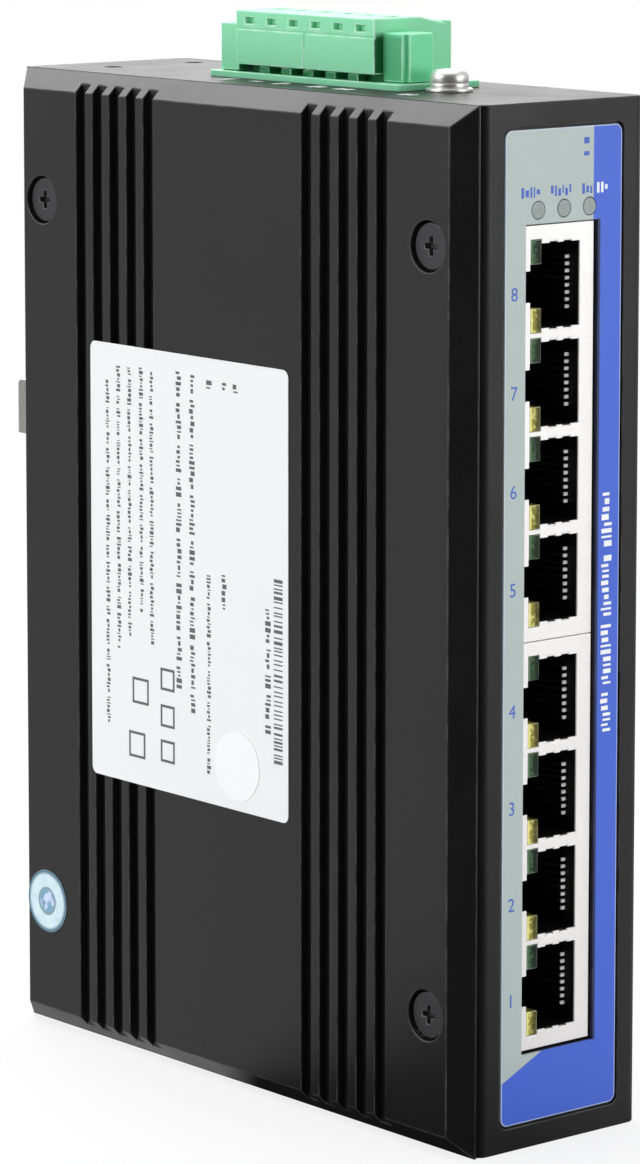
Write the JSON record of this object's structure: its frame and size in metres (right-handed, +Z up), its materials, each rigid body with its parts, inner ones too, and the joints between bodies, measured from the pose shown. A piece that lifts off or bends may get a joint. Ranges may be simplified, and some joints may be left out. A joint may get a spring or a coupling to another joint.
{
  "type": "din rail ethernet switch",
  "caption": "Slim metal network switch that clips on a DIN rail, with a column of modular sockets in front, a ribbed side cover and a plug-in terminal block on top.",
  "frame": {"origin": "centre of the housing's bottom face, between the side cover's outer face and the right wall and between the front and the back face", "axes": "+Z up, the sockets face -Y, the ribbed cover faces -X, the DIN rail clip faces +Y"},
  "size_m": [0.0347, 0.1127, 0.1602],
  "materials": {
    "case_grey": "fine matt powder coat",
    "black_screws": "black zinc",
    "printed_film": "grey-green film with a blue stripe",
    "port_shield": "bright nickel",
    "port_black": "satin black",
    "gold_contacts": "gold flash",
    "green_lights": "tinted lens",
    "yellow_lights": "tinted lens",
    "status_lights": "frosted lens",
    "board_green": "solder mask",
    "part_black": "moulded",
    "part_silver": "satin",
    "terminal_green": "moulded green",
    "tinned_metal": "tinned",
    "zinc_steel": "bright zinc",
    "clip_metal": "satin",
    "label_paper": "silver-white polyester",
    "clear_film": "clear film",
    "seal_foil": "pale blue foil"
  },
  "bodies": {
    "housing": {"body_shell": "case_grey", "side_cover": "case_grey", "cover_screws": "black_screws", "front_film": "printed_film", "lower_port_shield": "port_shield", "upper_port_shield": "port_shield", "lower_port_block": "port_black", "upper_port_block": "port_black", "light_holder": "port_black", "lower_port_contacts": "gold_contacts", "upper_port_contacts": "gold_contacts", "lower_green_lights": "green_lights", "upper_green_lights": "green_lights", "lower_yellow_lights": "yellow_lights", "upper_yellow_lights": "yellow_lights", "status_lights": "status_lights", "circuit_board": "board_green", "switch_chip": "part_black", "line_transformers": "part_black", "power_inductor": "part_black", "alarm_relay": "part_black", "clock_crystal": "part_silver", "storage_capacitors": "part_silver", "header_housing": "terminal_green", "header_pins": "tinned_metal", "board_screws": "zinc_steel", "flat_washer": "zinc_steel", "spring_washer": "zinc_steel", "ground_screw": "zinc_steel", "bracket_screws": "zinc_steel", "latch_spring": "zinc_steel", "din_bracket": "clip_metal", "rating_label": "label_paper", "clear_dot": "clear_film", "seal_sticker": "seal_foil"},
    "plug": {"plug_housing": "terminal_green", "plug_contacts": "tinned_metal", "plug_clamps": "tinned_metal", "plug_clamp_screws": "tinned_metal"},
    "latch": {"din_latch": "zinc_steel"}
  },
  "joints": [
    {"name": "plug_pull_off", "type": "slide", "parent": "housing", "child": "plug", "axis": [0, 0, 1], "range_m": [0, 0.012]},
    {"name": "latch_slide", "type": "slide", "parent": "housing", "child": "latch", "axis": [0, 0, -1], "range_m": [0, 0.0045], "stiffness_N_per_m": 600, "springref_m": -0.003, "deforming": ["latch_spring"]}
  ]
}
